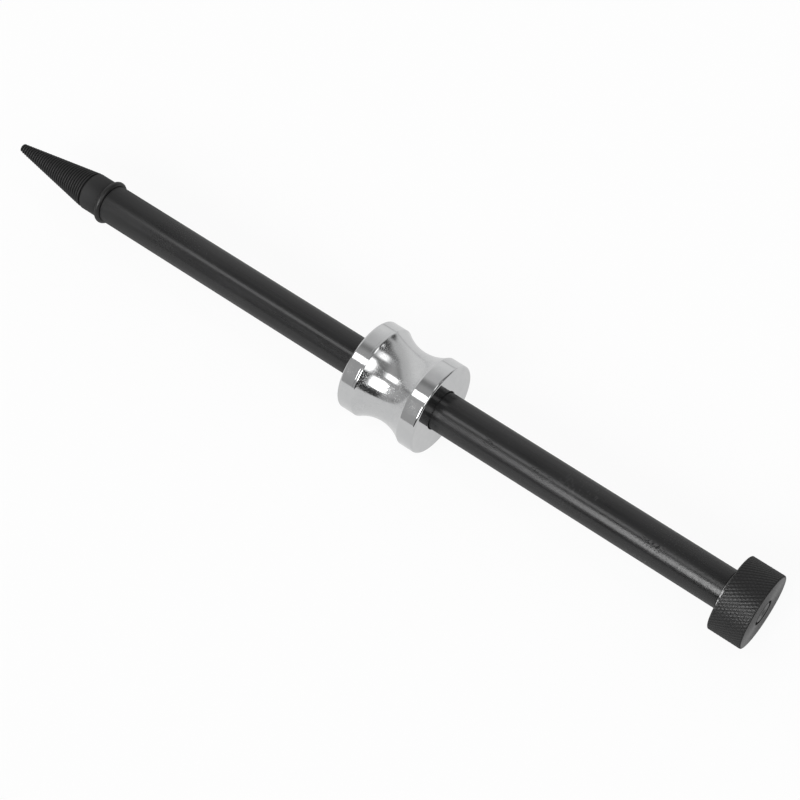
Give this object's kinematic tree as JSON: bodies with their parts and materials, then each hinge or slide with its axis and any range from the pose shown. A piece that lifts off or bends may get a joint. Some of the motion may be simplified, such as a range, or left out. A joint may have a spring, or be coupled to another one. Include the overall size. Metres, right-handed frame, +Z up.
{
  "type": "slide hammer puller",
  "caption": "Long round rod with a taper screw tip, a rubber buffer ring, a waisted chromed weight that slides along it and a knurled stop knob.",
  "frame": {"origin": "on the axis of the tool, at the middle of its whole length", "axes": "+X along the axis from the screw tip to the stop knob, +Z up as the tool lies"},
  "size_m": [0.4888, 0.052, 0.052],
  "materials": {
    "rod_steel": "satin blackened steel with fine lengthwise wear",
    "tip_steel": "matte blackened steel, lighter on the thread crests",
    "ring_rubber": "satin black rubber",
    "weight_chrome": "bright chrome over fine turning lines",
    "washer_steel": "dull spring steel",
    "knob_steel": "blackened knurl with a satin turned end face"
  },
  "bodies": {
    "shaft": {"rod": "rod_steel", "screw_tip": "tip_steel", "buffer_ring": "ring_rubber", "lock_washer": "washer_steel", "stop_knob": "knob_steel"},
    "weight": {"slide_weight": "weight_chrome"}
  },
  "joints": [
    {"name": "weight_slide", "type": "slide", "parent": "shaft", "child": "weight", "axis": [1, 0, 0], "range_m": [-0.178, 0.1756]}
  ]
}
